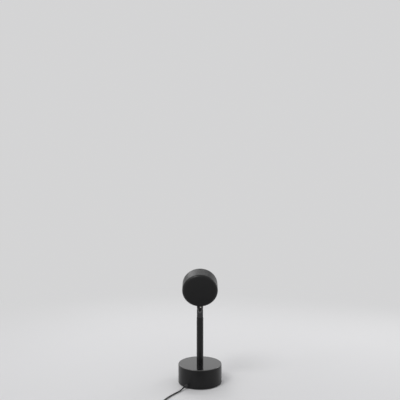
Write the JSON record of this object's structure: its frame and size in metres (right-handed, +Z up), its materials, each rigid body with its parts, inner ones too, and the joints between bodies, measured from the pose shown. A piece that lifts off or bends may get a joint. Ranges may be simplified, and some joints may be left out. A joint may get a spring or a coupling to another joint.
{
  "type": "sunset projection lamp",
  "caption": "Small table lamp with a heavy round base, straight pole and tilting drum head whose convex lens throws a warm disc of light",
  "frame": {"origin": "centre of the base's underside, on the table", "axes": "+Z up along the pole; the head's beam points to +Y and 20 degrees up at rest; the hinge axis lies along X"},
  "size_m": [0.1316, 0.2215, 0.2366],
  "materials": {
    "black_shell": "satin black anodised coating",
    "black_pole": "semi-gloss black coating",
    "neck_metal": "satin dark grey coating",
    "nickel": "bright nickel plate",
    "dark_screws": "zinc-plated steel",
    "iron": "cast, bare",
    "plate_steel": "pressed sheet",
    "brass": "turned",
    "foam": "fine closed-cell foam",
    "black_rubber": "matt moulded",
    "circuit_board": "solder mask",
    "board_parts": "moulded",
    "ivory_plastic": "moulded",
    "black_lead": "satin insulation",
    "pale_wire": "insulated cores",
    "bare_aluminium": "turned",
    "white_board": "white solder mask on aluminium",
    "grey_pad": "soft silicone",
    "black_plastic": "fine texture",
    "button_plastic": "smooth",
    "colour_filter": "yellow to orange to red graded film on glass",
    "lens_glass": "polished",
    "gold_ring": "gold anodised, turned",
    "gold_contacts": "gold plated",
    "light_source": "phosphor under a clear dome"
  },
  "bodies": {
    "stand": {"base_shell": "black_shell", "counterweight": "iron", "counterweight_screws": "dark_screws", "base_plate": "plate_steel", "base_plate_screws": "dark_screws", "foot_pad": "foam", "lead_gland": "black_rubber", "driver_board": "circuit_board", "driver_parts": "board_parts", "driver_terminals": "ivory_plastic", "board_screws": "dark_screws", "base_lead": "black_lead", "pole_wire": "pale_wire", "pole_stud": "brass", "pole_washer": "nickel", "pole_nut": "nickel", "pole_tube": "black_pole", "neck_grub": "dark_screws", "cord_lead": "black_lead", "switch_case_lower": "black_plastic", "switch_case_upper": "black_plastic", "switch_board": "circuit_board", "switch_block": "board_parts", "switch_wires": "pale_wire", "switch_screws": "dark_screws", "switch_boots": "black_rubber", "cord_link": "black_lead", "cord_coil": "black_lead", "coil_tie": "black_rubber", "cord_tail": "black_lead", "plug_overmould": "black_plastic", "plug_shell": "nickel", "plug_tongue": "ivory_plastic", "plug_contacts": "gold_contacts"},
    "neck": {"neck_fork": "neck_metal", "pivot_bolt": "nickel", "pivot_nut": "nickel", "friction_washers": "ivory_plastic"},
    "head": {"hinge_tongue": "nickel", "tongue_screws": "dark_screws", "head_shell": "black_shell", "heat_sink": "bare_aluminium", "sink_screws": "dark_screws", "thermal_pad": "grey_pad", "led_board": "white_board", "led_board_screws": "dark_screws", "led_source": "light_source", "head_wire": "pale_wire", "filter_tube": "black_plastic", "gradient_filter": "colour_filter", "filter_clip": "dark_screws", "front_bezel": "black_shell", "lens": "lens_glass", "lens_ring": "gold_ring"},
    "button": {"switch_button": "button_plastic"}
  },
  "joints": [
    {"name": "neck_swivel", "type": "hinge", "parent": "stand", "child": "neck", "pos_m": [0, 0, 0.1335], "axis": [0, 0, 1], "range_deg": [-175, 175]},
    {"name": "head_tilt", "type": "hinge", "parent": "neck", "child": "head", "pos_m": [0, 0, 0.1515], "axis": [1, 0, 0], "range_deg": [-110, 70]},
    {"name": "button_press", "type": "slide", "parent": "stand", "child": "button", "axis": [0, 0, -1], "range_m": [0, 0.0015], "stiffness_N_per_m": 400, "springref_m": -0.0005}
  ]
}
